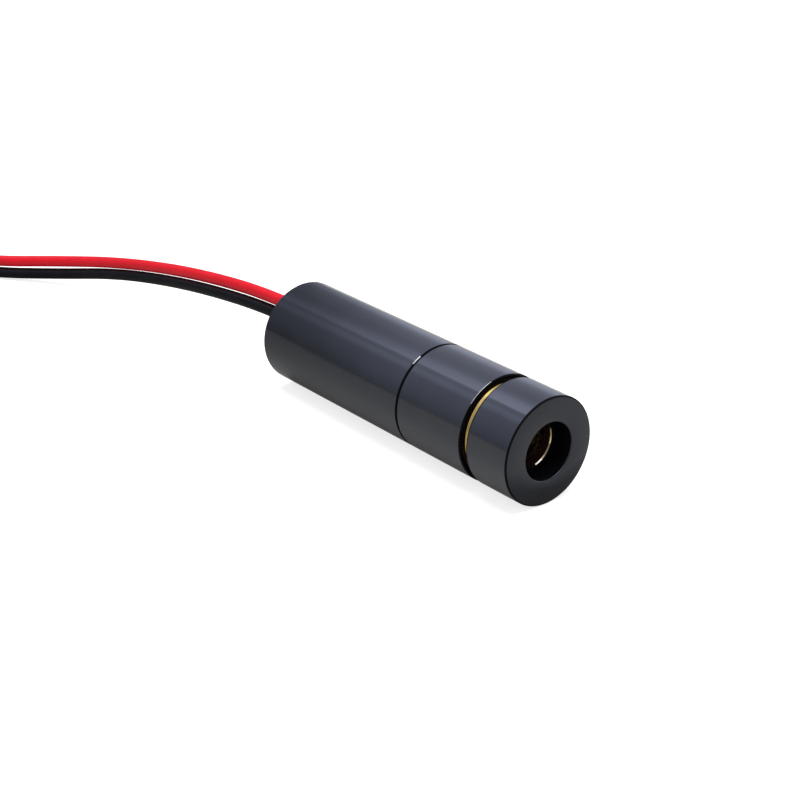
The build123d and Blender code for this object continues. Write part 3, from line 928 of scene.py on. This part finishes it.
def makeFloor():
    values = {
        "size": 6.0, "colour": 0.555, "roughness": 0.9, "seenLift": 0.74, "mirroredLift": 0.05, "slant": 0.94,
        "leads": (-19.2 * mm, 0.29), "front": (22 * mm, 0.54),
        "aheadFrom": 15 * mm, "aheadTo": 30 * mm, "aheadLean": 0.35,
        "ahead": [
            (17.2 * mm, 1), (18 * mm, 0.33), (21.5 * mm, 0.34),
            (22.3 * mm, 0.45), (23.8 * mm, 0.58), (25 * mm, 0.77),
        ],
    }
    deselectAll()
    bpy.ops.mesh.primitive_plane_add(size=values["size"])
    floor = bpy.context.object
    floor.name = "floor"
    material, shader = newMaterial("paleFloor", [values["colour"]] * 3, values["roughness"], specular=0)
    rays = addNode(material, "ShaderNodeLightPath").outputs
    place = addNode(material, "ShaderNodeTexCoord").outputs["Object"]
    parts = addNode(material, "ShaderNodeSeparateXYZ", {"Vector": place}).outputs
    x, y = parts["X"], parts["Y"]

    # Mirrored in the body, the floor carries painted shade: darker towards the leads, and painted dark close
    # in front of the cap where contact shade falls
    nearSide = addMath(material, "MINIMUM", y, 0)
    along = addMath(material, "MULTIPLY_ADD", nearSide, -values["slant"], x)
    farSide = addMath(material, "GREATER_THAN", y, 0)
    away = addMath(material, "ADD", along, farSide)  # the far side counts as a metre ahead
    (leadsX, leadsTone), (frontX, frontTone) = values["leads"], values["front"]
    fade = addRange(material, away, leadsX, frontX, leadsTone, frontTone)
    aheadX = addMath(material, "MULTIPLY_ADD", y, values["aheadLean"], x)
    ahead = addRange(material, aheadX, values["aheadFrom"], values["aheadTo"], 0, 1)
    reach = values["aheadTo"] - values["aheadFrom"]
    paintedShadeAhead = addRamp(material, ahead, [
        ((stopX - values["aheadFrom"]) / reach, (tone, tone, tone)) for stopX, tone in values["ahead"]
    ])
    paintedMirroredShade = addMath(material, "MULTIPLY", fade, paintedShadeAhead)
    tone = addMix(material, rays["Is Glossy Ray"], values["colour"], paintedMirroredShade)
    setSocket(material, shader.inputs["Base Color"], tone)

    # Seen by the camera it is lifted to white, and its shadow stays
    seen = addMath(material, "MAXIMUM", rays["Is Camera Ray"], rays["Is Transmission Ray"])
    seenLift = addMath(material, "MULTIPLY", seen, values["seenLift"])
    strength = addMath(material, "MULTIPLY_ADD", rays["Is Glossy Ray"], values["mirroredLift"], seenLift)
    lift = addNode(material, "ShaderNodeEmission", {"Strength": strength})
    both = addNode(material, "ShaderNodeAddShader", {0: shader.outputs["BSDF"], 1: lift.outputs["Emission"]})
    surface = material.node_tree.nodes["Material Output"].inputs["Surface"]
    setSocket(material, surface, both.outputs["Shader"])
    floor.data.materials.append(material)


def makeWorld():
    # What shiny surfaces mirror: strengths round the body's axis, from its left side over the top
    values = {
        "light": 0.5, "seen": 1.0, "brightest": 1.7, "mirroredTint": (0.99, 1.06, 1.33),
        "ring": [
            (0, 0.82), (15, 0.87), (30, 0.72), (45, 0.77), (55, 0.84), (65, 0.84), (74, 0.85),
            (84, 1.05), (94, 1.55), (98, 1.7), (101, 1.27), (107, 1.17), (112, 1.53), (118, 1.42),
            (126, 0.97), (135, 0.9), (145, 0.83), (160, 0.69), (176, 0.5),
        ],
        "band": [(0, 0), (58, 0), (65, 0.1), (74, 0.42), (84, 1), (94, 0.92), (98, 1), (101, 0)],
        "bandFarX": 0.737, "bandNearX": 0.65, "bandStrength": 1.2,
        "farGain": 0.3, "farX": 0.77, "nearGain": 1.07, "nearX": 0.69,
    }
    world = bpy.data.worlds.new("studio")
    bpy.context.scene.world = world
    world.use_nodes = True
    background = world.node_tree.nodes["Background"]
    rays = addNode(world, "ShaderNodeLightPath").outputs
    direction = addNode(world, "ShaderNodeTexCoord").outputs["Generated"]
    x, y, z = addNode(world, "ShaderNodeSeparateXYZ", {"Vector": direction}).outputs
    halfTurns = addMath(world, "DIVIDE", addMath(world, "ARCTAN2", z, y), pi)

    def strengthRound(places, brightest):
        return addRamp(world, halfTurns, [
            (angle / 180, [strength / brightest] * 3) for angle, strength in places
        ])

    ring = strengthRound(values["ring"], values["brightest"])
    band = strengthRound(values["band"], 1)
    alongX = addMath(world, "ABSOLUTE", x)
    bandGain = addRange(world, alongX, values["bandFarX"], values["bandNearX"], 0, values["bandStrength"])
    gain = addRange(
        world, alongX, values["farX"], values["nearX"], values["farGain"] * values["brightest"],
        values["nearGain"] * values["brightest"], interpolation_type="SMOOTHSTEP")
    mirrored = addMath(world, "MULTIPLY_ADD", band, bandGain, addMath(world, "MULTIPLY", ring, gain))
    seen = addMath(world, "MAXIMUM", rays["Is Camera Ray"], rays["Is Transmission Ray"])
    plain = addRange(world, seen, 0, 1, values["light"], values["seen"])
    strength = addMix(world, rays["Is Glossy Ray"], plain, mirrored)
    tint = addMix(
        world, rays["Is Glossy Ray"], (1, 1, 1, 1), (*values["mirroredTint"], 1), data_type="RGBA")
    setSocket(world, background.inputs["Strength"], strength)
    setSocket(world, background.inputs["Color"], tint)


def makeLamp(name, facts):
    lamp = bpy.data.lights.new(name, "AREA")
    lamp.shape = "RECTANGLE"
    lamp.size, lamp.size_y = facts["size"]
    lamp.energy = facts["power"]
    stand = addObject(name, lamp)
    stand.location = facts["location"]
    stand.rotation_mode = "QUATERNION"
    stand.rotation_quaternion = (Vector() - stand.location).to_track_quat("-Z", "Y")  # towards the origin
    stand.visible_glossy = False  # shiny surfaces mirror the world instead


def makeCamera():
    lens = bpy.data.cameras.new("camera")
    lens.lens = camera["lens"]
    lens.sensor_width = camera["sensor"]
    lens.clip_start = camera["nearest"]
    lens.clip_end = camera["farthest"]
    stand = addObject("camera", lens)
    stand.location = camera["location"]
    stand.rotation_euler = camera["turn"]
    bpy.context.scene.camera = stand


makeCamera()
makeFloor()
makeWorld()
for lampName, facts in lamps.items():
    makeLamp(lampName, facts)
bpy.context.scene.view_settings.view_transform = "Standard"
print("floor, lamps and camera in place")
